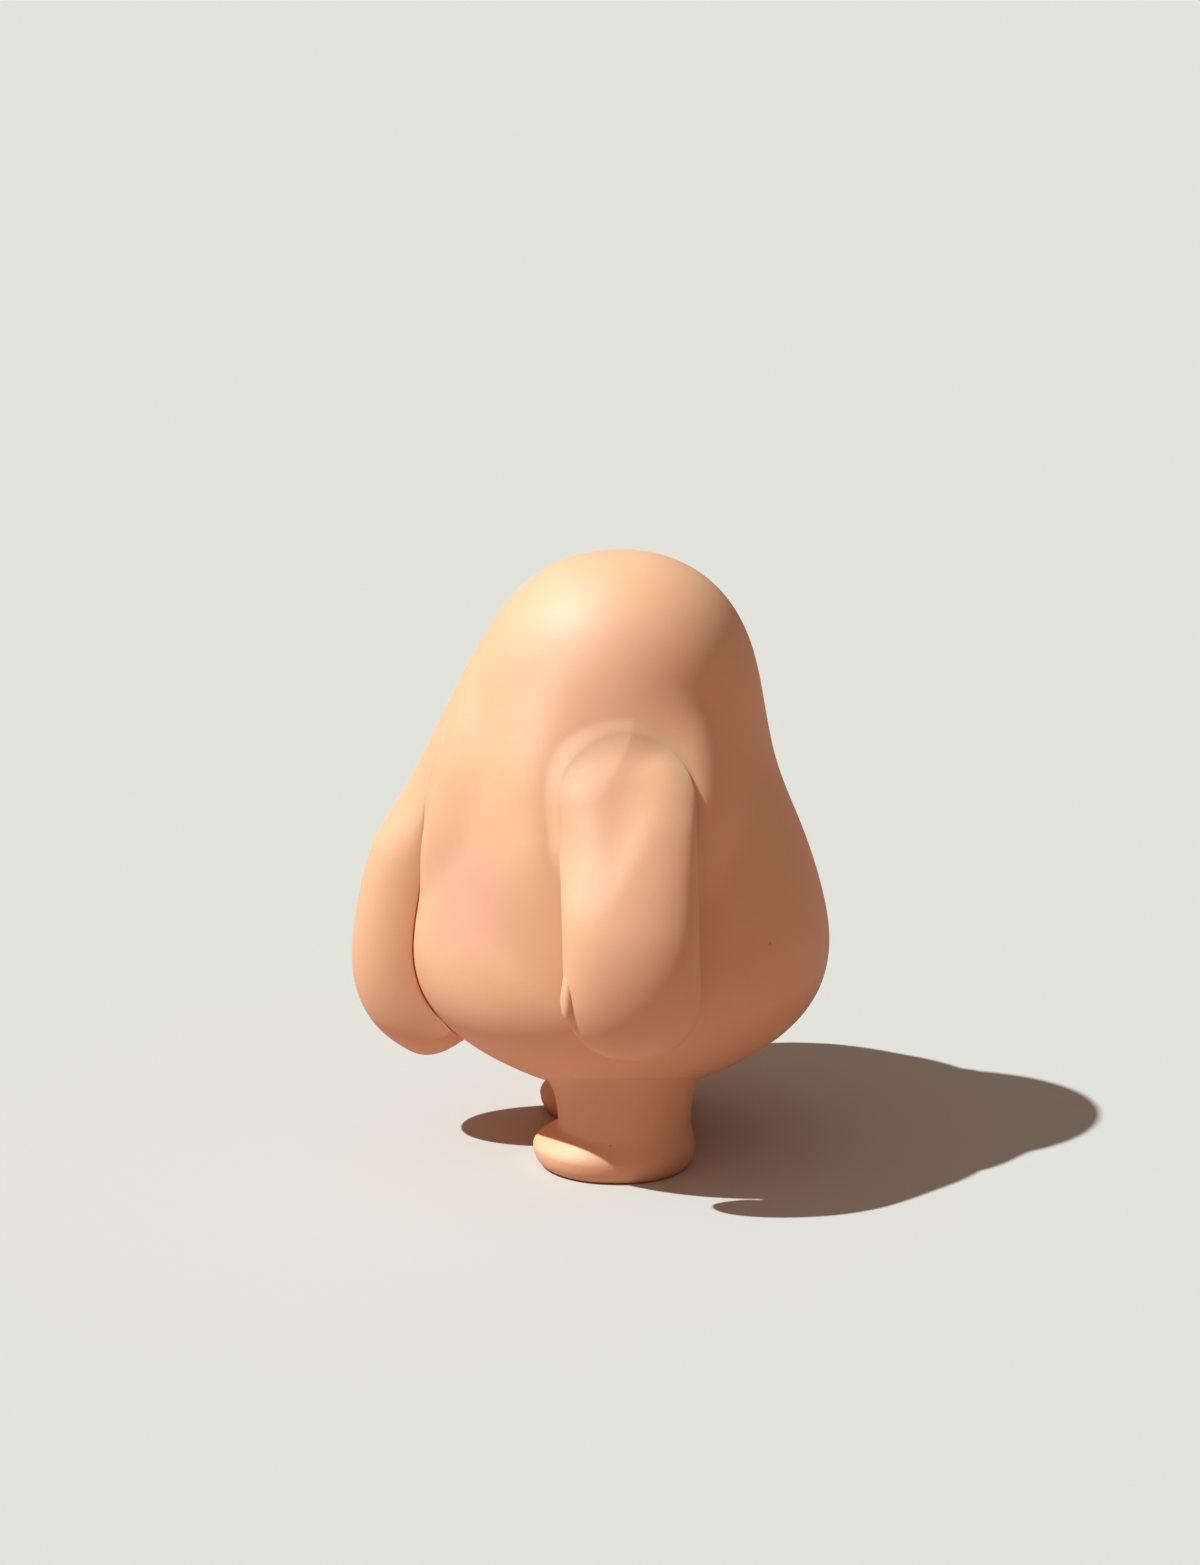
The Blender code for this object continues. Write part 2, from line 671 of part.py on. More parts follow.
def build_nose(figure):
    frame = nose_neck_frame()
    neck_end = neck_bottom(0.0)
    build_flap(figure, "nose", nose_flap(), frame, NOSE_NECK_RADIUS, neck_end, NOSE_NECK_DROP, 1)
    figure.solid("nose_retainer", retainer(frame, NOSE_NECK_RADIUS, neck_end - GAP), figure.joint_plastic)


def build_leg(figure, side_name, sign):
    """A hollow leg: the cap under the belly carries the neck, and a steel weight lies on the sole."""
    frame = Upright(sign * LEG_SPREAD, LEG_BACK)
    leg = figure.solid(f"{side_name}_leg", closed_grid(on_side(leg_surface(LEG_COLUMNS), sign)), figure.vinyl)
    cap_height = float(belly_height(LEG_SPREAD - ANKLE_RADIUS, LEG_BACK))
    neck_top = floor_height() + GAP
    neck = cylinder(frame, LEG_NECK_RADIUS, neck_top, cap_height - WALL)
    combine(leg, figure.cutter(f"{side_name}_leg_neck", neck), "UNION")
    chamber = turned(
        (
            (0, cap_height - WALL),
            (ANKLE_RADIUS - 2 * WALL, cap_height - WALL),
            (ANKLE_RADIUS - WALL, ANKLE_HEIGHT),
            (ANKLE_RADIUS - WALL, WALL),
            (0, WALL),
        ),
        frame,
    )
    combine(leg, figure.cutter(f"{side_name}_leg_hollow", chamber), "DIFFERENCE")
    bore_radius = LEG_NECK_RADIUS - NECK_WALL
    bore = cylinder(frame, bore_radius, neck_top + WALL, ANKLE_HEIGHT)
    combine(leg, figure.cutter(f"{side_name}_leg_bore", bore), "DIFFERENCE")
    weight = cylinder(frame, WEIGHT_RADIUS, WALL + GAP + WEIGHT_THICKNESS, WALL + GAP)
    figure.solid(f"{side_name}_foot_weight", weight, figure.steel)
    head = neck_top + GAP
    plug = turned(
        (
            (0, head + RETAINER_THICKNESS),
            (LEG_NECK_RADIUS + LEG_RETAINER_LIP, head + RETAINER_THICKNESS),
            (LEG_NECK_RADIUS + LEG_RETAINER_LIP, head),
            (bore_radius - GAP, head),
            (bore_radius - GAP, head - STEM_LENGTH),
            (0, head - STEM_LENGTH),
        ),
        frame,
    )
    figure.solid(f"{side_name}_leg_retainer", plug, figure.joint_plastic)


def stand_over_middle(figure):
    """Moves the figure so that the middle of its box, front to back, is over the origin."""
    front = nose_flap().surface(FLAP_ROWS, FLAP_COLUMNS)[..., 1].min()
    back = body_surface(BODY_ROWS, BODY_COLUMNS)[..., 1].max()
    figure.root.location.y = -(front + back) / 2


def main():
    clear_scene()
    figure = Figure()
    shoulder = shoulder_seat()
    frames = {
        "left_shoulder": (shoulder, ARM_NECK_RADIUS),
        "right_shoulder": (Mirror(shoulder), ARM_NECK_RADIUS),
        "nose": (nose_neck_frame(), NOSE_NECK_RADIUS),
    }
    build_body(figure, frames)
    build_nose(figure)
    for side_name, sign in (("left", 1), ("right", -1)):
        build_arm(figure, side_name, sign)
        build_leg(figure, side_name, sign)
    stand_over_middle(figure)


main()
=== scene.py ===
"""The looks of a pear-shaped soft-vinyl art toy, built round its packed CAD frame.

The body, the nose, the arms and the legs are fine surfaces worked out with numpy. The nose and the arms grow
out of the body as on one casting: body and flap follow the same blended height over the flap's seat, and part
along the seat's circle, so an arm can swivel. The plugs, rings and weights inside keep their CAD shapes.
"""

import json
import math

import bpy
import numpy as np
from mathutils import Matrix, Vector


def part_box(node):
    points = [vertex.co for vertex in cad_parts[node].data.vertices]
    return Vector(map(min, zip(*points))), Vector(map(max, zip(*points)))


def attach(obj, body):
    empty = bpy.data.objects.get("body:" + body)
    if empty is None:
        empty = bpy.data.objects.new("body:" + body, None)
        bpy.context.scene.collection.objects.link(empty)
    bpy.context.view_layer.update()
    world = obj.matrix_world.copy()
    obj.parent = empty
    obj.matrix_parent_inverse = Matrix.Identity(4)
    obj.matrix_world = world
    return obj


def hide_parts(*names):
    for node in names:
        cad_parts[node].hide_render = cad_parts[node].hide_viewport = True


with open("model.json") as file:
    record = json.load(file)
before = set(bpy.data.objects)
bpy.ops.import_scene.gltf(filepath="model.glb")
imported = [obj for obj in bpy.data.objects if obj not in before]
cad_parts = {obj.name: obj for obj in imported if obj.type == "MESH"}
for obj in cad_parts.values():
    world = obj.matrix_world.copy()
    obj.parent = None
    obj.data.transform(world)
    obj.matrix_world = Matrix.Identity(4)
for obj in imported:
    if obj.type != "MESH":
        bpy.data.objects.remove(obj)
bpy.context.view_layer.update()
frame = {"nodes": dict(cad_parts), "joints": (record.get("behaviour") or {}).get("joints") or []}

bl_info = {
    "name": "Vinyl Toy",
    "version": (1, 0, 0),
    "blender": (4, 5, 0),
    "location": "3D View > Sidebar > Vinyl Toy",
    "description": "Builds a soft-vinyl art toy with a long nose and two swivelling arms",
    "category": "Add Mesh",
}

MM = 0.001

# Places that the frame gives
BODY_LOW, BODY_HIGH = (np.array(corner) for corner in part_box("body_shell"))
WEIGHT_LOW, WEIGHT_HIGH = (np.array(corner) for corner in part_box("left_foot_weight"))
LEG_SPREAD = (WEIGHT_LOW[0] + WEIGHT_HIGH[0]) / 2
LEG_Y = (WEIGHT_LOW[1] + WEIGHT_HIGH[1]) / 2
LEG_BACK = 1.7 * MM  # how far the legs stand behind the body's axis
AXIS_Y = LEG_Y - LEG_BACK
BELLY_RADIUS = (BODY_HIGH[0] - BODY_LOW[0]) / 2
CROTCH_HEIGHT = BODY_LOW[2]
CROWN_HEIGHT = BODY_HIGH[2]
SHOULDER = next(joint for joint in frame["joints"] if joint["name"] == "left_shoulder")

# The body's outline as shares of its belly radius and of its height above the crotch, top to bottom
BODY_OUTLINE = (
    (0.000, 1.000),
    (0.260, 0.983),
    (0.480, 0.923),
    (0.600, 0.845),
    (0.672, 0.735),
    (0.745, 0.605),
    (0.865, 0.486),
    (0.965, 0.366),
    (1.000, 0.264),
    (0.953, 0.187),
    (0.822, 0.121),
    (0.620, 0.065),
    (0.380, 0.020),
    (0.160, 0.003),
    (0.000, 0.000),
)
CHEST_HEIGHT = 117 * MM
CHEST_SPREAD = 20 * MM
NOSE_HEIGHT = 112 * MM
NOSE_TILT = math.radians(14)
NOSE_PROUD = -1.4 * MM

SEAM_LAP = 0.3 * MM  # how far a flap's edge laps over its seat's circle
SEAM_RISE = 0.03 * MM  # how far that edge stands over the body
HANG_GAP = 1.2 * MM  # between the body and the loose part of a flap
SEAT_INSET = 1.3 * MM  # how far inside a flap's edge the body starts to drop away under it
SEAT_DROP = 1.5 * MM  # depth of the body's recess under a flap
SEAT_DROP_SLOPE = 1.5  # how steeply the body drops into that recess
SEAT_DEPTH = 40 * MM  # a place further than this under a seat's plane is not raised towards it
LEG_SINK = 0.35 * MM  # how far a leg's top reaches into the belly
FILL_BLEND = 4 * MM  # reach of the blend where the body crosses a seat's plane
WALL_FALL = 30 * MM  # how fast a flap's face, carried on past its seat, falls away from it
LOOSE_RUN = 1.5  # length of the change from attached to loose, as a share of the seat's radius
THUMB_UP = 1.02  # from the hand's end up to the thumb's middle, as a share of the hand's round end
THUMB_IN = 0.2  # from the hand's edge in to the thumb's middle, as a share of the thumb's width
THUMB_LIFT = 0.4  # from the hand's underside up to the thumb's middle, as a share of the arm's thickness
THUMB_DEPTH = 0.8  # half the thumb's depth, as a share of its width
THUMB_EGG = 0.25  # how much fuller the thumb is below its middle
SEARCH_LOW = -25 * MM  # heights over a seat's plane between which the body is looked for
SEARCH_HIGH = 15 * MM
SEARCH_STEPS = 20  # how often that span is halved

BODY_ROWS = 250
BODY_COLUMNS = 360
FLAP_ROWS = 190
FLAP_COLUMNS = 144
THUMB_ROWS = 40
THUMB_COLUMNS = 40
LEG_COLUMNS = 144
ROW_CROWDING = 1.2  # how much denser the body's rows lie at the nose's height, as a share
ROW_CROWDING_SPREAD = 28 * MM
COLUMN_CROWDING = 0.18  # how far the body's columns move towards its sides, in radians

FLOOR_RINGS = (0.0, 0.5, 2.0, 8.0, 60.0)  # radii in metres
FLOOR_COLUMNS = 96
SUN_TOWARDS = (0.15, -0.71, 1.0)  # direction from the figure to the main light
FILL_LEVEL = 0.1  # strength of the soft light from level and below
FILL_RISE = 1.35  # how much stronger it is from straight above
LOOK_HEIGHT = 80 * MM  # height of the point that the camera faces, before its lens shift


# ---------------------------------------------------------------- curves and blends


def smooth_step(value):
    """0 below 0, 1 above 1, and the cubic 3t^2 - 2t^3 between."""
    value = np.clip(value, 0, 1)
    return value * value * (3 - 2 * value)


def spline_through(places, values, at):
    """Natural cubic spline: one cubic for each span, with slope and bend running on from span to span."""
    places = np.asarray(places, float)
    values = np.asarray(values, float)
    step = np.diff(places)
    slope = np.diff(values) / step
    system = np.diag(np.concatenate([[1.0], 2 * (step[:-1] + step[1:]), [1.0]]))
    inner = np.arange(1, len(places) - 1)
    system[inner, inner - 1] = step[:-1]
    system[inner, inner + 1] = step[1:]
    bend = np.linalg.solve(system, np.concatenate([[0.0], 6 * np.diff(slope), [0.0]]))
    at = np.clip(at, places[0], places[-1])
    span = np.clip(np.searchsorted(places, at, side="right") - 1, 0, len(step) - 1)
    t = at - places[span]
    start = slope[span] - step[span] * (2 * bend[span] + bend[span + 1]) / 6
    third = (bend[span + 1] - bend[span]) / (6 * step[span])
    return values[span] + t * (start + t * (bend[span] / 2 + t * third))


def blended_top(first, second, reach):
    """The higher of two heights, with the valley rounded wherever they differ by less than reach."""
    near = np.maximum(reach - np.abs(first - second), 0) / reach
    return np.maximum(first, second) + near * near * reach / 4


def outline_points(count):
    """(radius, height) along the body's outline, crown to crotch, at even steps along the curve.

    A spline over the distance along the outline runs through its points, and through those next to each end
    again, mirrored at the axis, so that crown and crotch are level.
    """
    shares = np.array(BODY_OUTLINE)
    mirror = np.array([-1.0, 1.0])
    controls = np.concatenate([shares[3:0:-1] * mirror, shares, shares[-2:-5:-1] * mirror])
    controls = controls * [BELLY_RADIUS, CROWN_HEIGHT - CROTCH_HEIGHT] + [0, CROTCH_HEIGHT]
    distance = np.concatenate([[0.0], np.cumsum(np.hypot(*np.diff(controls, axis=0).T))])
    at = np.linspace(distance[3], distance[-4], count)
    radius = np.maximum(spline_through(distance, controls[:, 0], at), 0)
    radius[[0, -1]] = 0.0
    return radius, spline_through(distance, controls[:, 1], at)


OUTLINE_RADIUS, OUTLINE_HEIGHT = outline_points(3000)


def radius_at(height):
    """The turned body's radius at a height."""
    return np.interp(-height, -OUTLINE_HEIGHT, OUTLINE_RADIUS)


def belly_height(across, back):
    """Height of the underside at a place under the belly."""
    lower = slice(len(OUTLINE_RADIUS) // 2, None)
    upwards = OUTLINE_RADIUS[lower][::-1], OUTLINE_HEIGHT[lower][::-1]
    return np.interp(np.hypot(across, back), *upwards)


def chest_fullness(height, angle, fullness):
    """How far the front stands out: a bell over height times the squared cosine of the angle from it."""
    bell = np.exp(-(((height - CHEST_HEIGHT) / CHEST_SPREAD) ** 2) / 2)
    return fullness * bell * np.clip(np.cos(angle), 0, 1) ** 2


# ---------------------------------------------------------------- meshes


def mesh_object(name, grids):
    """One object from closed grids of (rows, columns, 3) points whose first and last rows are single points.

    The rings run anticlockwise when seen from the first row's side, so that the faces point outwards.
    """
    all_points = []
    all_faces = []
    offset = 0
    for grid in grids:
        rows, columns = grid.shape[:2]
        inner = grid[1:-1].reshape(-1, 3)
        all_points.append(np.concatenate([grid[:1, 0], inner, grid[-1:, 0]]))
        number = offset + 1 + np.arange((rows - 2) * columns).reshape(rows - 2, columns)
        beside = np.roll(number, -1, axis=1)
        quads = np.stack([number[:-1], number[1:], beside[1:], beside[:-1]], axis=-1)
        first = np.full(columns, offset)
        last = np.full(columns, offset + len(inner) + 1)
        top = np.stack([first, number[0], beside[0]], axis=-1)
        bottom = np.stack([number[-1], last, beside[-1]], axis=-1)
        all_faces += quads.reshape(-1, 4).tolist() + top.tolist() + bottom.tolist()
        offset += len(inner) + 2
    mesh = bpy.data.meshes.new(name)
    mesh.from_pydata(np.concatenate(all_points), [], all_faces)
    mesh.shade_smooth()
    made = bpy.data.objects.new(name, mesh)
    bpy.context.scene.collection.objects.link(made)
    return made


def united(first, second):
    """The first object's mesh becomes the union of both, and the second object goes."""
    modifier = first.modifiers.new("union", "BOOLEAN")
    modifier.operation = "UNION"
    modifier.solver = "EXACT"
    modifier.object = second
    evaluated = first.evaluated_get(bpy.context.evaluated_depsgraph_get())
    joined = bpy.data.meshes.new_from_object(evaluated)
    first.modifiers.clear()
    first.data = joined
    joined.shade_smooth()
    bpy.data.objects.remove(second)


def on_side(grid, sign):
    """A grid for the +X side, or its mirror image with its rings turned round so that it still faces out."""
    return grid if sign > 0 else (grid * [-1.0, 1.0, 1.0])[:, ::-1]


# ---------------------------------------------------------------- seats and flaps


class Seat:
    """A flat round seat on the body, with the directions down, across and out of it."""

    def __init__(self, origin, out, radius):
        self.origin = np.array(origin, float)
        self.out = np.array(out, float) / np.linalg.norm(out)
        down = np.array([0.0, 0.0, -1.0])
        down = down - self.out * (down @ self.out)
        self.down = down / np.linalg.norm(down)
        self.across = np.cross(self.out, self.down)
        self.radius = radius
        self.turn = np.stack([self.down, self.across, self.out], axis=1)

    def local(self, points):
        """Places down and across the seat, and heights over it."""
        found = (points - self.origin) @ self.turn
        return found[..., 0], found[..., 1], found[..., 2]

    def placed(self, down, across, height):
        return np.stack(np.broadcast_arrays(down, across, height), axis=-1) @ self.turn.T + self.origin


def shoulder_seat(radius):
    return Seat(SHOULDER["pos_m"], -np.array(SHOULDER["axis"]), radius)


def nose_seat(radius, fullness):
    """The seat in the middle of the front: on the body's surface there, tilted upwards."""
    out = np.array([0.0, -math.cos(NOSE_TILT), math.sin(NOSE_TILT)])
    reach = radius_at(NOSE_HEIGHT) + chest_fullness(NOSE_HEIGHT, 0.0, fullness)
    return Seat(np.array([0.0, AXIS_Y - reach, NOSE_HEIGHT]) + out * NOSE_PROUD, out, radius)


def body_height_over(placed, down, across, fullness):
    """Height of the body over a seat's straight or bent plane, found by halving a span of heights.

    'placed' turns places down and across the plane, and heights over it, into points.
    """
    low = np.full(down.shape, SEARCH_LOW)
    high = np.full(down.shape, SEARCH_HIGH)
    for _ in range(SEARCH_STEPS):
        middle = (low + high) / 2
        point = placed(down, across, middle)
        x, y, z = point[..., 0], point[..., 1] - AXIS_Y, point[..., 2]
        reach = radius_at(z) + chest_fullness(z, np.arctan2(x, -y), fullness)
        outside = np.hypot(x, y) > reach
        high = np.where(outside, middle, high)
        low = np.where(outside, low, middle)
    return low


class Flap:
    """A flat tongue that grows out of a seat, hangs straight and then bends in round an arc.

    Near the seat its outer face is crown * (1 - s^p): s is the distance from the flap's middle line, or above
    the seat's centre from that centre, as a share of the seat's radius. The power p grows from 2 at the seat's
    top to 'steep' at its centre. That face meets the platform, which is the body filled up flat round the seat,
    in a rounded valley. Where the flap is loose, its section is half an ellipse over a rim.
    """

    def __init__(
        self,
        seat,
        sizes,
        crown,
        steep,
        blend,
        ease,
        held_down,
        loose_from,
        tip,
        drift=0.0,
        rests=0.0,
        rim=0.3,
    ):
        self.seat = seat
        self.length = sizes.length
        self.straight = sizes.straight
        self.bend_radius = sizes.bend_radius
        self.crown = crown  # (distance from the seat's centre, height) pairs
        self.steep = steep  # p from the seat's centre down, at the -across and the +across edge
        self.blend = blend  # reach of the rounded valley at the -across and the +across edge
        self.ease = ease  # how far outside each edge the body eases from the seat's plane to itself
        self.held_down = held_down  # how far down each edge the body is raised, as a share of the radius
        self.loose_from = loose_from  # where each edge starts to come off the body, as a share of the radius
        self.tip = tip  # length of the rounded end
        self.drift = drift  # how far the end hangs to the +across side
        self.rests = rests  # how far its underside may thicken to rest on the body
        self.rim = rim  # height of the widest line where it is loose, as a share of its thickness

    def crown_height(self, down):
        places, heights = zip(*self.crown)
        return spline_through(places, heights, down)

    def rear_share(self, across):
        """0 on the -across side of the middle and 1 on the +across side, with an easy change between."""
        return smooth_step(0.5 + 0.8 * across / self.seat.radius)

    def between(self, pair, across):
        """A value that goes from the -across side's to the +across side's."""
        share = self.rear_share(across)
        return pair[0] + (pair[1] - pair[0]) * share

    def face(self, down, across, from_middle):
        """The outer face's own height where it grows out of the seat."""
        power = 2 + (self.between(self.steep, across) - 2) * smooth_step(down / self.seat.radius + 1)
        return self.crown_height(down) * (1 - np.abs(from_middle / self.seat.radius) ** power)

    def looseness(self, down, across):
        """0 where the flap is one with its seat, 1 where it hangs free."""
        start = self.between(self.loose_from, across)
        return smooth_step((down / self.seat.radius - start) / LOOSE_RUN)

    def grid(self, rows, columns, fullness):
        """Grid of the flap from the top of its seat to its tip, 'along' by rows and once round by columns."""
        edge = self.seat.radius + SEAM_LAP
        turn = np.linspace(0, math.pi, rows)[:, None]
        along = (self.length - edge) / 2 - (self.length + edge) / 2 * np.cos(turn)
        top = np.sqrt(np.clip(1 - (np.minimum(along, 0) / edge) ** 2, 0, 1))
        past_tip = np.clip((along - self.length + self.tip) / self.tip, 0, 1)
        half_width = edge * top * np.sqrt(1 - past_tip**2)
        thinned = (1 - past_tip**4) ** 0.5
        angle = np.linspace(2 * math.pi, 0, columns, endpoint=False)
        across = half_width * np.cos(angle)
        side_edge = half_width * np.sign(np.cos(angle))
        rise = np.broadcast_to(np.sin(angle), across.shape)
        along = np.broadcast_to(along, across.shape)
        outer, under = self.faces(along, across, np.maximum(rise, 0), thinned, fullness)
        rim, _ = self.faces(along, side_edge, np.zeros_like(rise), thinned, fullness)
        inner = under + (rim - under) * (1 - np.abs(rise) ** 0.7)
        return self.laid(along, across, np.where(rise >= 0, outer, inner))

    def reach(self, down, across):
        """Reach of the rounded valley round the seat, which is no wider than the flap is high there."""
        return np.minimum(self.between(self.blend, across), self.crown_height(down) + 3 * MM)

    def platform(self, down, across, body):
        """The body's height, flat at the seat and easing to its own outside it, and how far outside."""
        below = np.maximum(down - self.seat.radius * self.between(self.held_down, across), 0)
        from_middle = np.hypot(np.minimum(down, 0) + below, across)
        past = np.maximum(from_middle / self.seat.radius - 1, 0)
        flat = smooth_step(1 - past * self.seat.radius / self.between(self.ease, across))
        return blended_top(body, body * (1 - flat), FILL_BLEND * flat + 0.001 * MM), past

    def faces(self, along, across, rise, thinned, fullness):
        """Heights of the outer face and of the underside's middle over the straight or bent seat plane."""
        loose = self.looseness(along, across)
        gap = HANG_GAP * loose
        crown = self.crown_height(along)
        from_middle = np.hypot(np.minimum(along, 0), across)
        body = body_height_over(self.laid, along, across, fullness)
        platform, _ = self.platform(along, across, body)
        face = self.face(along, across, from_middle)
        held = blended_top(face, platform, self.reach(along, across)) + SEAM_RISE
        under = gap - SEAM_LAP * (1 - loose)
        if self.rests:
            under = np.clip(body - SEAM_LAP, -self.rests * thinned, under)
        rim = under + self.rim * (gap + crown * thinned - under)
        free = rim + (gap + crown * thinned - rim) * rise
        return held + (free - held) * loose, under

    def laid(self, along, across, height):
        """Points in the figure's frame: along the straight run, then round the bend's arc."""
        bent = np.maximum(along - self.straight, 0) / self.bend_radius
        down = np.minimum(along, self.straight) + (self.bend_radius + height) * np.sin(bent)
        out = (self.bend_radius + height) * np.cos(bent) - self.bend_radius
        sideways = across + self.drift * np.clip(along / self.length, 0, 1) ** 2
        return self.seat.placed(down, sideways, out)

    def raise_body(self, points):
        """The body's points, raised to the blended height round the seat and dropped under the flap."""
        down, across, height = self.seat.local(points)
        near = (height > -SEAT_DEPTH) & (np.hypot(down, across) < 3 * self.seat.radius)
        platform, past = self.platform(down, across, height)
        own = np.minimum(self.face(down, across, (1 + past) * self.seat.radius), 0) - WALL_FALL * past**2
        raised = blended_top(own, platform, self.reach(down, across))
        inside = self.seat.radius - SEAT_INSET - np.hypot(down, across)
        drop = np.clip(inside * SEAT_DROP_SLOPE, 0, SEAT_DROP)
        change = np.where(near, raised - drop - height, 0)
        return points + self.seat.out * change[..., None]


def arm_flap(sizes):
    radius = sizes.half_width
    crown = (
        (-radius, 0.10 * sizes.thickness),
        (-0.3 * radius, 0.34 * sizes.thickness),
        (0.6 * radius, 0.66 * sizes.thickness),
        (0.45 * sizes.length, 0.98 * sizes.thickness),
        (0.75 * sizes.length, 1.00 * sizes.thickness),
        (sizes.length, 0.80 * sizes.thickness),
    )
    return Flap(
        shoulder_seat(radius),
        sizes,
        crown,
        steep=(3.6, 4.0),
        blend=(9 * MM, 1.2 * MM),
        ease=(28 * MM, 18 * MM),
        held_down=(0.6, 0.0),
        loose_from=(0.4, -1.0),
        tip=radius,
        drift=1.0 * MM,
    )


def nose_flap(sizes, fullness):
    radius = sizes.half_width
    crown = (
        (-radius, 0.16 * sizes.thickness),
        (0.0, 0.32 * sizes.thickness),
        (0.25 * sizes.length, 0.64 * sizes.thickness),
        (0.5 * sizes.length, 0.80 * sizes.thickness),
        (0.74 * sizes.length, 1.00 * sizes.thickness),
        (0.84 * sizes.length, 0.90 * sizes.thickness),
        (sizes.length, 0.40 * sizes.thickness),
    )
    seat = nose_seat(radius, fullness)
    return Flap(
        seat,
        sizes,
        crown,
        steep=(2.0, 2.0),
        blend=(6 * MM, 6 * MM),
        ease=(20 * MM, 20 * MM),
        held_down=(0.3, 0.3),
        loose_from=(0.3, 0.3),
        tip=7 * MM,
        rests=7 * MM,
        rim=0.06,
    )


def thumb_grid(flap, sizes):
    """A thumb on the hand's front edge: an egg whose radius follows the sine of its angle, round end down."""
    along = flap.length - THUMB_UP * flap.tip
    polar = np.linspace(0, math.pi, THUMB_ROWS)[:, None]
    angle = np.linspace(2 * math.pi, 0, THUMB_COLUMNS, endpoint=False)
    reach = np.sin(polar) * (1 - THUMB_EGG * np.cos(polar))
    down = along - np.cos(polar) * sizes.thumb_length + 0 * angle
    middle = -flap.seat.radius + THUMB_IN * sizes.thumb_width
    across = middle + reach * np.cos(angle) * sizes.thumb_width / 2
    lift = HANG_GAP + THUMB_LIFT * sizes.thickness
    height = lift + reach * np.sin(angle) * sizes.thumb_width * THUMB_DEPTH
    return flap.laid(down, across, height)


# ---------------------------------------------------------------- body and legs


def body_grid(body, flaps):
    """The turned outline with the fuller chest, raised round each flap's seat.

    Rows lie closer at the seats' height and columns closer at the sides, where the arms' edges are narrow.
    """
    weight = 1 + ROW_CROWDING * np.exp(-(((OUTLINE_HEIGHT - NOSE_HEIGHT) / ROW_CROWDING_SPREAD) ** 2))
    run = np.cumsum(weight)
    at = np.interp(np.linspace(run[0], run[-1], BODY_ROWS), run, np.arange(len(run)))
    radius = np.interp(at, np.arange(len(run)), OUTLINE_RADIUS)[:, None]
    height = np.interp(at, np.arange(len(run)), OUTLINE_HEIGHT)[:, None]
    even = np.linspace(0, 2 * math.pi, BODY_COLUMNS, endpoint=False)
    angle = even + COLUMN_CROWDING * np.sin(2 * even)
    reach = radius + chest_fullness(height, angle, body.chest_fullness) * (radius > 0)
    height = np.broadcast_to(height, reach.shape)
    points = np.stack([reach * np.sin(angle), AXIS_Y - reach * np.cos(angle), height], axis=-1)
    mirror = np.array([-1.0, 1.0, 1.0])
    arm, nose = flaps
    points = arm.raise_body(points)
    points = arm.raise_body(points * mirror) * mirror
    return nose.raise_body(points)


def leg_grid(sizes):
    """The leg at +X, from a hidden top inside the belly down to the sole.

    A curve leaves the belly along its slope and ends upright at the ankle. The leg then eases out to the
    foot's widest ring and goes a quarter round down to the sole.
    """
    angle = np.linspace(0, 2 * math.pi, LEG_COLUMNS, endpoint=False)
    toe = sizes.toe_length * np.clip(-np.sin(angle), 0, 1) ** 1.5

    def ring(reach, height):
        x = LEG_SPREAD + reach * np.cos(angle)
        y = LEG_Y + reach * np.sin(angle)
        return np.stack(np.broadcast_arrays(x, y, height), axis=-1)

    def belly(reach):
        x = LEG_SPREAD + reach * np.cos(angle)
        y = LEG_BACK + reach * np.sin(angle)
        return belly_height(x, y)

    top_reach = sizes.ankle_radius + sizes.fillet
    rings = []
    for share in np.linspace(0, 0.97, 12):
        rings.append(ring(share * top_reach, belly(share * top_reach) + 3 * LEG_SINK))
    step = 0.5 * MM
    slope = (belly(top_reach + step) - belly(top_reach - step)) / (2 * step)
    start = belly(top_reach) + LEG_SINK
    pull = sizes.fillet * 1.6
    drop = np.maximum(start - sizes.ankle_height, 2 * MM)
    for t in np.linspace(0, 1, 24):
        leave = t * (1 - t) ** 2
        arrive = t * t * (t - 1)
        share = t * t * (3 - 2 * t)
        reach = top_reach - sizes.fillet * share - pull * leave
        level = start + (sizes.ankle_height - start) * share
        height = level - slope * pull * leave - 1.5 * drop * arrive
        rings.append(ring(reach, height))
    for share in np.linspace(0, 1, 26)[1:]:
        eased = smooth_step(share)
        out = (sizes.foot_radius - sizes.ankle_radius + toe) * eased
        height = sizes.ankle_height + (sizes.foot_height - sizes.ankle_height) * share
        rings.append(ring(sizes.ankle_radius + out, height))
    for turn in np.linspace(0, math.pi / 2, 20)[1:]:
        narrower = (sizes.foot_radius - sizes.sole_radius) * math.cos(turn)
        reach = sizes.sole_radius + narrower + toe * (0.7 + 0.3 * math.cos(turn))
        rings.append(ring(reach, sizes.foot_height * (1 - math.sin(turn))))
    rings += [ring(share * sizes.sole_radius, 0.0) for share in (0.8, 0.4, 0.0)]
    return np.stack(rings)


# ---------------------------------------------------------------- materials


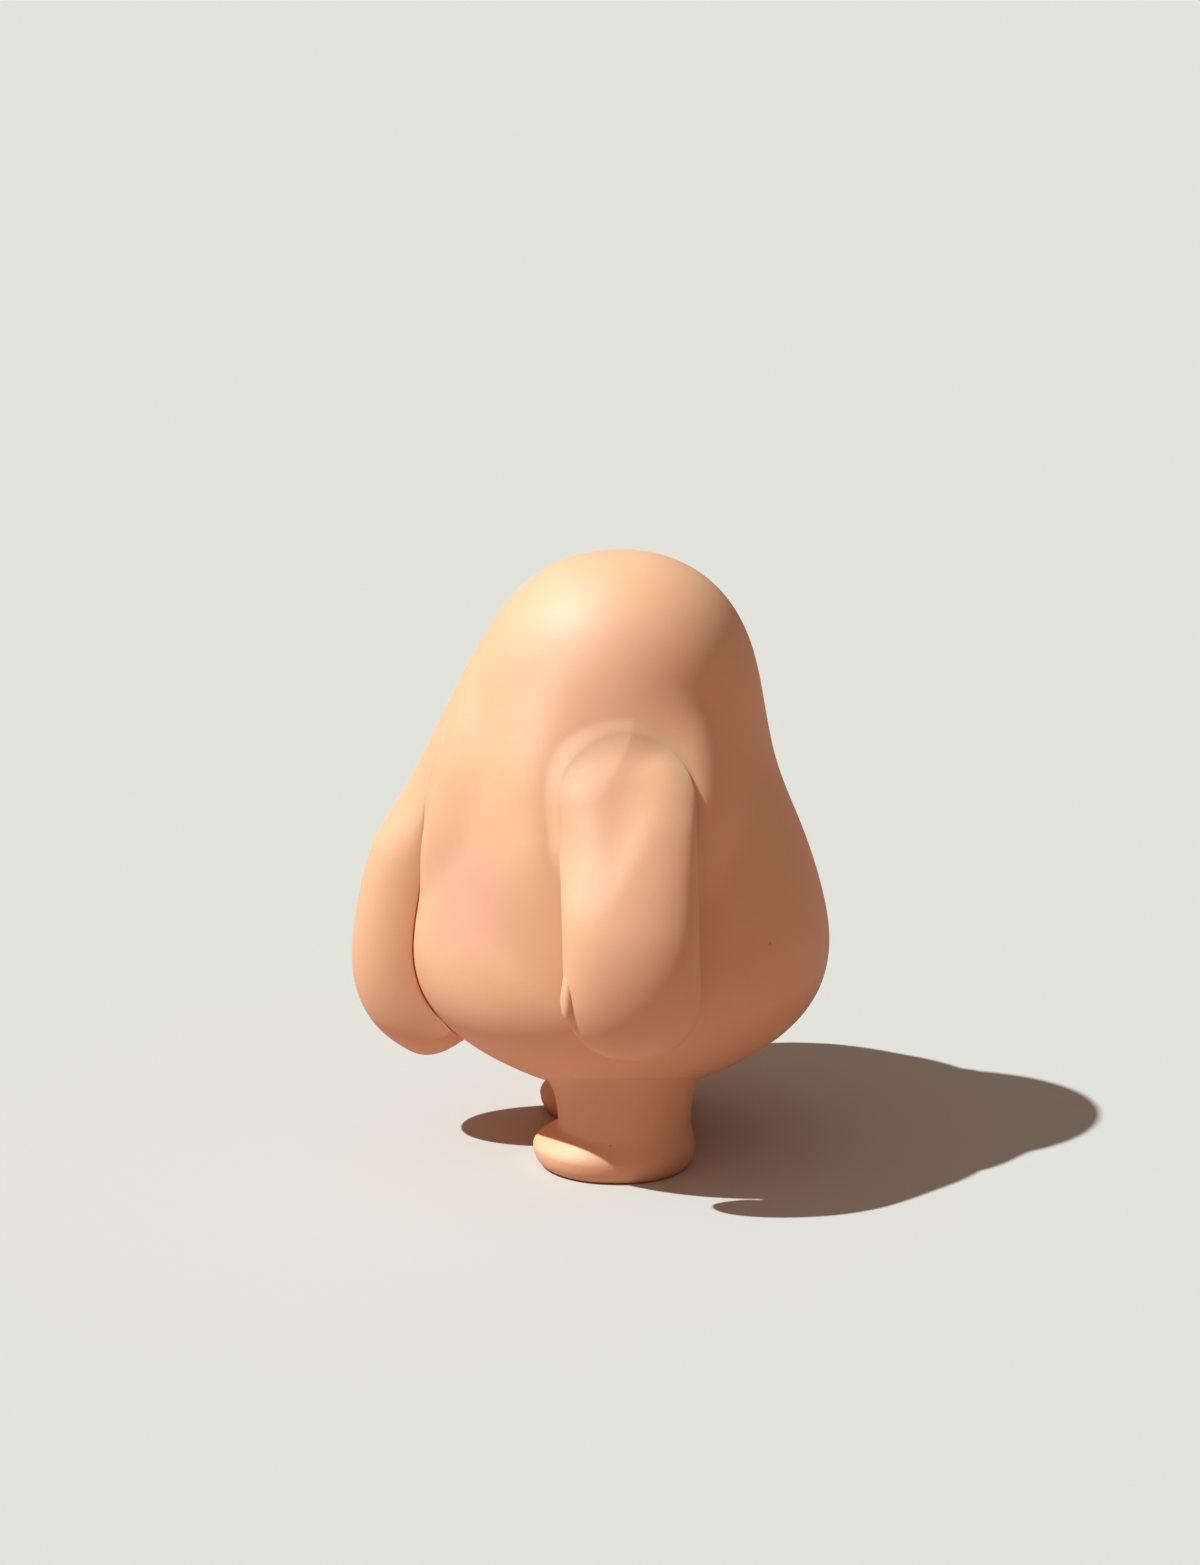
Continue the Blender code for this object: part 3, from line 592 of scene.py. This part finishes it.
class Value:
    """A number on a node's socket that takes part in arithmetic: each operator adds its Math node."""

    def __init__(self, material, socket):
        self.material = material
        self.socket = socket

    def math(self, operation, first, second=0.0, clamp=False):
        settings = {"operation": operation, "use_clamp": clamp}
        made = self.material.node("ShaderNodeMath", settings, {0: first, 1: second})
        return Value(self.material, made.outputs[0])

    def __add__(self, other):
        return self.math("ADD", self, other)

    __radd__ = __add__

    def __sub__(self, other):
        return self.math("SUBTRACT", self, other)

    def __rsub__(self, other):
        return self.math("SUBTRACT", other, self)

    def __mul__(self, other):
        return self.math("MULTIPLY", self, other)

    __rmul__ = __mul__

    def __gt__(self, other):
        return self.math("GREATER_THAN", self, other)

    def __lt__(self, other):
        return self.math("LESS_THAN", self, other)

    def __pow__(self, other):
        return self.math("POWER", self, other)

    def larger(self, other):
        return self.math("MAXIMUM", self, other)

    def clamped(self):
        return self.math("ADD", self, 0.0, clamp=True)


class Nodes:
    """The nodes of a material or of the world."""

    def __init__(self, data):
        self.data = data
        data.use_nodes = True
        self.tree = data.node_tree

    def node(self, kind, settings=None, sockets=None):
        """A node of a kind, its settings set first, then each socket given its value or its link."""
        made = self.tree.nodes.new(kind)
        for name, value in (settings or {}).items():
            setattr(made, name, value)
        for key, value in (sockets or {}).items():
            self.feed(made.inputs[key], value)
        return made

    def feed(self, socket, value):
        if isinstance(value, Value):
            value = value.socket
        if isinstance(value, bpy.types.NodeSocket):
            self.tree.links.new(value, socket)
        else:
            socket.default_value = value


class Material(Nodes):
    """A Principled material and the nodes that feed it."""

    def __init__(self, name):
        super().__init__(bpy.data.materials.new(name))
        self.shader = self.tree.nodes["Principled BSDF"]
        self.place = self.node("ShaderNodeTexCoord").outputs["Object"]

    def noise(self, scale, detail=2.0, roughness=0.5):
        """Fractal noise from 0 to 1 over the object's own coordinates."""
        sockets = {"Vector": self.place, "Scale": scale, "Detail": detail, "Roughness": roughness}
        return Value(self, self.node("ShaderNodeTexNoise", None, sockets).outputs["Fac"])

    def closeness(self, centre, radius):
        """1 at a centre, falling evenly to 0 at a radius from it."""
        away = self.node("ShaderNodeVectorMath", {"operation": "DISTANCE"}, {0: self.place, 1: centre})
        return (1 - Value(self, away.outputs["Value"]) * (1 / radius)).clamped()

    def mixed(self, share, first, second):
        """Colour that goes from the first to the second with a share from 0 to 1."""
        sockets = {0: share, 6: first, 7: second}
        return self.node("ShaderNodeMix", {"data_type": "RGBA"}, sockets).outputs[2]

    def bumped(self, height, depth):
        """The normal of a surface whose height, from 0 to 1, stands for a real depth."""
        sockets = {"Height": height, "Distance": depth, "Strength": 1.0}
        return self.node("ShaderNodeBump", None, sockets).outputs["Normal"]

    def finish(self, **inputs):
        """Feeds the shader's sockets, named in words joined by underscores."""
        for name, value in inputs.items():
            self.feed(self.shader.inputs[name.replace("_", " ").title().replace("Ior", "IOR")], value)
        return self.data


def with_alpha(colour, scale=1.0):
    return (*(min(channel * scale, 1.0) for channel in colour), 1.0)


def blush_centre(sign, body, finish):
    """The middle of a cheek's blush, on the belly's surface beside the nose."""
    angle = finish.blush_angle
    reach = radius_at(finish.blush_height) + chest_fullness(finish.blush_height, angle, body.chest_fullness)
    return (sign * reach * math.sin(angle), AXIS_Y - reach * math.cos(angle), finish.blush_height)


def soft_vinyl(body, finish):
    """Matte cast vinyl: a warm tint with slow mottling, sprayed cheeks, stray specks and a fine grain."""
    made = Material("soft_vinyl")
    mottle = made.noise(38, 3.0)
    skin = made.mixed(mottle, with_alpha(finish.skin, 0.975), with_alpha(finish.skin, 1.02))
    near = [made.closeness(blush_centre(sign, body, finish), finish.blush_radius) for sign in (-1, 1)]
    cheek = near[0].larger(near[1])
    eased = cheek * cheek * (3 - 2 * cheek)
    sprayed = eased * (0.85 + 0.3 * made.noise(240, 4.0, 0.7))
    skin = made.mixed((sprayed * finish.blush_strength).clamped(), skin, with_alpha(finish.blush))
    cells = made.node("ShaderNodeTexVoronoi", None, {"Vector": made.place, "Scale": 95.0})
    spread = Value(made, cells.outputs["Distance"])
    pick = Value(made, made.node("ShaderNodeSeparateColor", None, {0: cells.outputs["Color"]}).outputs["Red"])
    speck = (spread < 0.045) * (pick > 0.93)
    skin = made.mixed(speck * 0.35, skin, with_alpha(finish.speck))
    grain = made.noise(1500, 3.0, 0.6)
    pits = made.noise(520, 2.0)
    return made.finish(
        base_color=skin,
        roughness=finish.roughness + 0.08 * (mottle - 0.5) + 0.10 * (grain - 0.5),
        normal=made.bumped(0.6 * grain + 0.4 * pits, finish.grain_depth),
        subsurface_weight=finish.translucence,
        subsurface_radius=(1.0, 0.35, 0.2),
        subsurface_scale=3 * MM,
        specular_ior_level=0.9,
    )


def joint_plastic(finish):
    """Injection-moulded plastic: off-white, satin, with faint flow marks and a light spark-eroded grain."""
    made = Material("joint_plastic")
    flow = made.noise(120, 4.0)
    grain = made.noise(2200, 2.0)
    return made.finish(
        base_color=made.mixed(flow, with_alpha(finish.plastic, 0.95), with_alpha(finish.plastic, 1.03)),
        roughness=0.36 + 0.12 * grain,
        normal=made.bumped(grain, 0.03 * MM),
    )


def ring_rubber(finish):
    """Black rubber: dull, with a bloom of pale dust and a fine skin."""
    made = Material("ring_rubber")
    bloom = made.noise(300, 5.0, 0.65)
    return made.finish(
        base_color=made.mixed(bloom ** 3, with_alpha(finish.rubber), with_alpha(finish.rubber, 4.0)),
        roughness=0.70 + 0.22 * bloom,
        normal=made.bumped(made.noise(1800, 3.0), 0.04 * MM),
    )


def plated_steel(finish):
    """Zinc-plated steel: a bright grey with cloudy patches and finer crystals."""
    made = Material("plated_steel")
    clouds = made.noise(160, 5.0, 0.6)
    crystals = made.node("ShaderNodeTexVoronoi", None, {"Vector": made.place, "Scale": 900.0})
    sparkle = Value(made, crystals.outputs["Distance"])
    return made.finish(
        base_color=made.mixed(clouds, with_alpha(finish.steel, 0.9), with_alpha(finish.steel, 1.1)),
        metallic=1.0,
        roughness=0.26 + 0.18 * clouds + 0.06 * sparkle,
        normal=made.bumped(sparkle, 0.02 * MM),
    )


# ---------------------------------------------------------------- settings


def length_setting(name, description, default):
    made = {"name": name, "description": description, "default": default, "unit": "LENGTH"}
    return bpy.props.FloatProperty(min=0.0, **made)


def share_setting(name, description, default):
    made = {"name": name, "description": description, "default": default, "subtype": "FACTOR"}
    return bpy.props.FloatProperty(min=0.0, **made)


def angle_setting(name, description, degrees):
    made = {"name": name, "description": description, "default": math.radians(degrees), "subtype": "ANGLE"}
    return bpy.props.FloatProperty(**made)


def colour_setting(name, description, default):
    made = {"name": name, "description": description, "default": default, "subtype": "COLOR"}
    return bpy.props.FloatVectorProperty(size=3, min=0.0, max=1.0, **made)


class ToyBody(bpy.types.PropertyGroup):
    """Sizes of the body."""

    chest_fullness: length_setting("Chest fullness", "How far the chest stands out in front", 8 * MM)


class ToyArm(bpy.types.PropertyGroup):
    """Sizes of an arm."""

    half_width: length_setting("Half width", "Half the arm's width, which is its seat's radius", 18.2 * MM)
    length: length_setting("Length", "From the shoulder's axis to the end of the hand", 69.5 * MM)
    straight: length_setting("Straight run", "How far the arm hangs before it bends in", 36 * MM)
    bend_radius: length_setting("Bend radius", "Radius of the bend round the belly", 52 * MM)
    thickness: length_setting("Thickness", "Thickness of the middle of the arm", 13 * MM)
    thumb_length: length_setting("Thumb length", "Half the length of the thumb", 6.0 * MM)
    thumb_width: length_setting("Thumb width", "Width of the thumb", 4.0 * MM)


class ToyNose(bpy.types.PropertyGroup):
    """Sizes of the nose."""

    half_width: length_setting("Half width", "Half the nose's width, which is its seat's radius", 16 * MM)
    length: length_setting("Length", "From the seat's centre to the tip", 87 * MM)
    straight: length_setting("Straight run", "How far the nose hangs before it bends in", 30 * MM)
    bend_radius: length_setting("Bend radius", "Radius of the bend round the belly", 64 * MM)
    thickness: length_setting("Thickness", "Thickness above the blunt tip", 18 * MM)


class ToyLeg(bpy.types.PropertyGroup):
    """Sizes of a leg."""

    ankle_radius: length_setting("Ankle radius", "Radius of the leg where it is narrowest", 19 * MM)
    ankle_height: length_setting("Ankle height", "Height of the narrowest place", 12.5 * MM)
    fillet: length_setting("Fillet", "Width of the curve from the ankle out to the belly", 3.8 * MM)
    foot_radius: length_setting("Foot radius", "Radius of the foot without its toe", 20.2 * MM)
    foot_height: length_setting("Foot height", "Height of the foot's widest ring", 5.5 * MM)
    toe_length: length_setting("Toe length", "How far the toe reaches in front of the foot's round", 6.0 * MM)
    sole_radius: length_setting("Sole radius", "Radius of the flat sole", 18 * MM)


class ToyFinish(bpy.types.PropertyGroup):
    """Colours and finishes."""

    skin: colour_setting("Skin", "Colour of the cast vinyl", (0.95, 0.49, 0.25))
    blush: colour_setting("Blush", "Colour of the sprayed cheeks", (0.97, 0.39, 0.29))
    speck: colour_setting("Speck", "Colour of stray specks in the vinyl", (0.35, 0.12, 0.05))
    plastic: colour_setting("Joint plastic", "Colour of the plugs inside", (0.82, 0.82, 0.79))
    rubber: colour_setting("Rubber", "Colour of the friction rings", (0.03, 0.03, 0.03))
    steel: colour_setting("Steel", "Colour of the plated weights", (0.62, 0.62, 0.60))
    roughness: share_setting("Roughness", "Roughness of the vinyl", 0.6)
    translucence: share_setting("Translucence", "Share of light that scatters inside the vinyl", 0.3)
    grain_depth: length_setting("Grain depth", "Depth of the moulding grain", 0.05 * MM)
    blush_radius: length_setting("Blush radius", "How far a blush fades out", 28 * MM)
    blush_strength: share_setting("Blush strength", "How much paint a blush holds in its middle", 0.55)
    blush_angle: angle_setting("Blush angle", "From the front to the middle of a blush", 44)
    blush_height: length_setting("Blush height", "Height of a blush's middle", 83 * MM)


class ToyStage(bpy.types.PropertyGroup):
    """Floor, light and camera."""

    floor: colour_setting("Floor", "Colour of the floor", (0.612, 0.568, 0.483))
    bounce: colour_setting("Bounce", "Colour of the light that the floor throws back", (0.46, 0.30, 0.26))
    background: colour_setting("Background", "Colour behind the floor", (0.768, 0.776, 0.737))
    fill: colour_setting("Fill", "Colour of the soft light from all round", (0.27, 0.22, 0.20))
    sun: colour_setting("Sun", "Colour of the main light", (0.759, 0.893, 1.0))
    sun_strength: bpy.props.FloatProperty(
        name="Sun strength", description="Strength of the main light", default=4.93
    )
    sun_size: angle_setting("Sun size", "How wide the main light is, which softens shadows", 0.8)
    azimuth: angle_setting("View azimuth", "From the front round to the camera's side", 91.2)
    elevation: angle_setting("View elevation", "Height of the camera over the horizon", 15.5)
    distance: length_setting("View distance", "From the figure's middle to the camera", 920 * MM)
    lens: bpy.props.FloatProperty(name="Lens", description="Focal length in millimetres", default=73.5)
    shift: bpy.props.FloatVectorProperty(
        name="Lens shift", description="How far the view is moved", size=2, default=(-0.0128, 0.0572)
    )


GROUPS = {
    "body": ToyBody,
    "arm": ToyArm,
    "nose": ToyNose,
    "leg": ToyLeg,
    "finish": ToyFinish,
    "stage": ToyStage,
}


class ToySettings(bpy.types.PropertyGroup):
    """All settings of the toy."""

    __annotations__ = {}


for group_name, group_class in GROUPS.items():
    ToySettings.__annotations__[group_name] = bpy.props.PointerProperty(
        type=group_class, name=group_name.title(), description=group_class.__doc__
    )


# ---------------------------------------------------------------- operators


def settle(piece, body_name, node, material):
    """Gives a new piece its material, hides the CAD part that it stands for, and hangs it on the body that it
    rides on.
    """
    piece.data.materials.clear()
    piece.data.materials.append(material)
    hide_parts(node)
    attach(piece, body_name)


def vinyl_of(settings):
    """The vinyl material, made once for all the cast pieces."""
    return bpy.data.materials.get("soft_vinyl") or soft_vinyl(settings.body, settings.finish)


class TOY_OT_body(bpy.types.Operator):
    """Build the body with its raised seats"""

    bl_idname = "toy.body"
    bl_label = "Body"

    def execute(self, context):
        settings = context.scene.toy
        flaps = arm_flap(settings.arm), nose_flap(settings.nose, settings.body.chest_fullness)
        made = mesh_object("body", [body_grid(settings.body, flaps)])
        settle(made, "torso", "body_shell", vinyl_of(settings))
        return {"FINISHED"}


class TOY_OT_nose(bpy.types.Operator):
    """Build the long flat nose"""

    bl_idname = "toy.nose"
    bl_label = "Nose"

    def execute(self, context):
        settings = context.scene.toy
        fullness = settings.body.chest_fullness
        flap = nose_flap(settings.nose, fullness)
        made = mesh_object("long_nose", [flap.grid(FLAP_ROWS, FLAP_COLUMNS, fullness)])
        settle(made, "torso", "nose", vinyl_of(settings))
        return {"FINISHED"}


class TOY_OT_arms(bpy.types.Operator):
    """Build both arms with their thumbs"""

    bl_idname = "toy.arms"
    bl_label = "Arms"

    def execute(self, context):
        settings = context.scene.toy
        flap = arm_flap(settings.arm)
        arm = flap.grid(FLAP_ROWS, FLAP_COLUMNS, settings.body.chest_fullness)
        thumb = thumb_grid(flap, settings.arm)
        for side, sign in (("left", 1), ("right", -1)):
            made = mesh_object(f"{side}_flap_arm", [on_side(arm, sign)])
            united(made, mesh_object(f"{side}_thumb", [on_side(thumb, sign)]))
            settle(made, f"{side}_arm", f"{side}_arm", vinyl_of(settings))
        return {"FINISHED"}


class TOY_OT_legs(bpy.types.Operator):
    """Build both legs"""

    bl_idname = "toy.legs"
    bl_label = "Legs"

    def execute(self, context):
        settings = context.scene.toy
        leg = leg_grid(settings.leg)
        for side, sign in (("left", 1), ("right", -1)):
            made = mesh_object(f"{side}_short_leg", [on_side(leg, sign)])
            settle(made, "torso", f"{side}_leg", vinyl_of(settings))
        return {"FINISHED"}


class TOY_OT_joint_parts(bpy.types.Operator):
    """Give the plugs, rings and weights inside their finishes"""

    bl_idname = "toy.joint_parts"
    bl_label = "Joint parts"

    def execute(self, context):
        finish = context.scene.toy.finish
        finishes = {
            "retainer": joint_plastic(finish),
            "ring": ring_rubber(finish),
            "weight": plated_steel(finish),
        }
        for name, node in frame["nodes"].items():
            kind = name.split("_")[-1]
            if kind in finishes:
                node.data.materials.clear()
                node.data.materials.append(finishes[kind])
        return {"FINISHED"}


class TOY_OT_stage(bpy.types.Operator):
    """Build the floor, the light and the camera"""

    bl_idname = "toy.stage"
    bl_label = "Stage"

    def execute(self, context):
        stage = context.scene.toy.stage
        make_floor(stage)
        make_light(stage)
        make_camera(stage)
        context.scene.view_settings.view_transform = "Standard"
        return {"FINISHED"}


def make_floor(stage):
    """A round floor, far wider than the figure, that lies just under the soles."""
    angle = np.linspace(0, 2 * math.pi, FLOOR_COLUMNS, endpoint=False)
    radius = np.array(FLOOR_RINGS)[:, None]
    x = radius * np.cos(angle)
    y = radius * np.sin(angle)
    points = np.stack([x, y, np.zeros_like(x)], axis=-1)
    rings = len(FLOOR_RINGS) - 1
    number = 1 + np.arange(rings * FLOOR_COLUMNS).reshape(rings, FLOOR_COLUMNS)
    beside = np.roll(number, -1, axis=1)
    faces = np.stack([number[:-1], number[1:], beside[1:], beside[:-1]], axis=-1).reshape(-1, 4).tolist()
    faces += np.stack([np.zeros(FLOOR_COLUMNS, int), number[0], beside[0]], axis=-1).tolist()
    mesh = bpy.data.meshes.new("floor")
    mesh.from_pydata(np.concatenate([points[:1, 0], points[1:].reshape(-1, 3)]), [], faces)
    floor = bpy.data.objects.new("floor", mesh)
    bpy.context.scene.collection.objects.link(floor)
    made = Material("pale_floor")
    seen = made.node("ShaderNodeLightPath").outputs["Is Camera Ray"]
    paint = made.mixed(made.noise(3), with_alpha(stage.floor, 0.997), with_alpha(stage.floor, 1.003))
    made.finish(
        base_color=made.mixed(seen, with_alpha(stage.bounce), paint),
        roughness=1.0,
        specular_ior_level=0.0,
    )
    mesh.materials.append(made.data)


def make_light(stage):
    """A small, far main light in front and above, and a dim warm light that is stronger higher up."""
    light = bpy.data.lights.new("sun", "SUN")
    light.energy = stage.sun_strength
    light.color = stage.sun
    light.angle = stage.sun_size
    sun = bpy.data.objects.new("sun", light)
    bpy.context.scene.collection.objects.link(sun)
    towards = np.array(SUN_TOWARDS)
    towards /= np.linalg.norm(towards)
    sun.rotation_euler = (math.acos(towards[2]), 0.0, math.atan2(towards[0], -towards[1]))
    bpy.context.scene.world = bpy.data.worlds.new("studio")
    world = Nodes(bpy.context.scene.world)
    direction = world.node("ShaderNodeTexCoord").outputs["Generated"]
    height = Value(world, world.node("ShaderNodeSeparateXYZ", None, {0: direction}).outputs["Z"])
    strength = FILL_LEVEL + FILL_RISE * height.clamped()
    fill = world.node("ShaderNodeBackground", None, {"Color": with_alpha(stage.fill), "Strength": strength})
    seen = world.node("ShaderNodeBackground", None, {"Color": with_alpha(stage.background)})
    share = world.node("ShaderNodeLightPath").outputs["Is Camera Ray"]
    mixed = world.node("ShaderNodeMixShader", None, {0: share, 1: fill.outputs[0], 2: seen.outputs[0]})
    world.feed(world.tree.nodes["World Output"].inputs["Surface"], mixed.outputs[0])


def make_camera(stage):
    """A camera that sees the figure from its left side, with the figure low and right of the middle."""
    lens = bpy.data.cameras.new("camera")
    lens.lens = stage.lens
    lens.shift_x, lens.shift_y = stage.shift
    lens.clip_start = 0.01
    lens.clip_end = 200.0
    camera = bpy.data.objects.new("camera", lens)
    bpy.context.scene.collection.objects.link(camera)
    turn, lift = stage.azimuth, stage.elevation
    back = np.array([math.sin(turn) * math.cos(lift), -math.cos(turn) * math.cos(lift), math.sin(lift)])
    right = np.array([math.cos(turn), math.sin(turn), 0.0])
    place = np.array([0.0, AXIS_Y, LOOK_HEIGHT]) + back * stage.distance
    turned = np.stack([right, np.cross(back, right), back, place], axis=1)
    camera.matrix_world = Matrix([*turned.tolist(), (0.0, 0.0, 0.0, 1.0)])
    bpy.context.scene.camera = camera


OPERATORS = (TOY_OT_body, TOY_OT_nose, TOY_OT_arms, TOY_OT_legs, TOY_OT_joint_parts, TOY_OT_stage)


class TOY_PT_panel(bpy.types.Panel):
    """Lists the toy's settings and the buttons that build it"""

    bl_label = "Vinyl Toy"
    bl_idname = "TOY_PT_panel"
    bl_space_type = "VIEW_3D"
    bl_region_type = "UI"
    bl_category = "Vinyl Toy"

    def draw(self, context):
        for group_name in GROUPS:
            box = self.layout.box()
            box.label(text=group_name.title())
            group = getattr(context.scene.toy, group_name)
            for setting in group.bl_rna.properties:
                if setting.identifier not in ("name", "rna_type"):
                    box.prop(group, setting.identifier)
        for operator in OPERATORS:
            self.layout.operator(operator.bl_idname)


CLASSES = (*GROUPS.values(), ToySettings, *OPERATORS, TOY_PT_panel)


def register():
    for each in CLASSES:
        bpy.utils.register_class(each)
    bpy.types.Scene.toy = bpy.props.PointerProperty(type=ToySettings)


def unregister():
    del bpy.types.Scene.toy
    for each in reversed(CLASSES):
        bpy.utils.unregister_class(each)


def main():
    register()
    bpy.ops.toy.body()
    bpy.ops.toy.nose()
    bpy.ops.toy.arms()
    bpy.ops.toy.legs()
    bpy.ops.toy.joint_parts()
    bpy.ops.toy.stage()


if __name__ == "__main__":
    main()
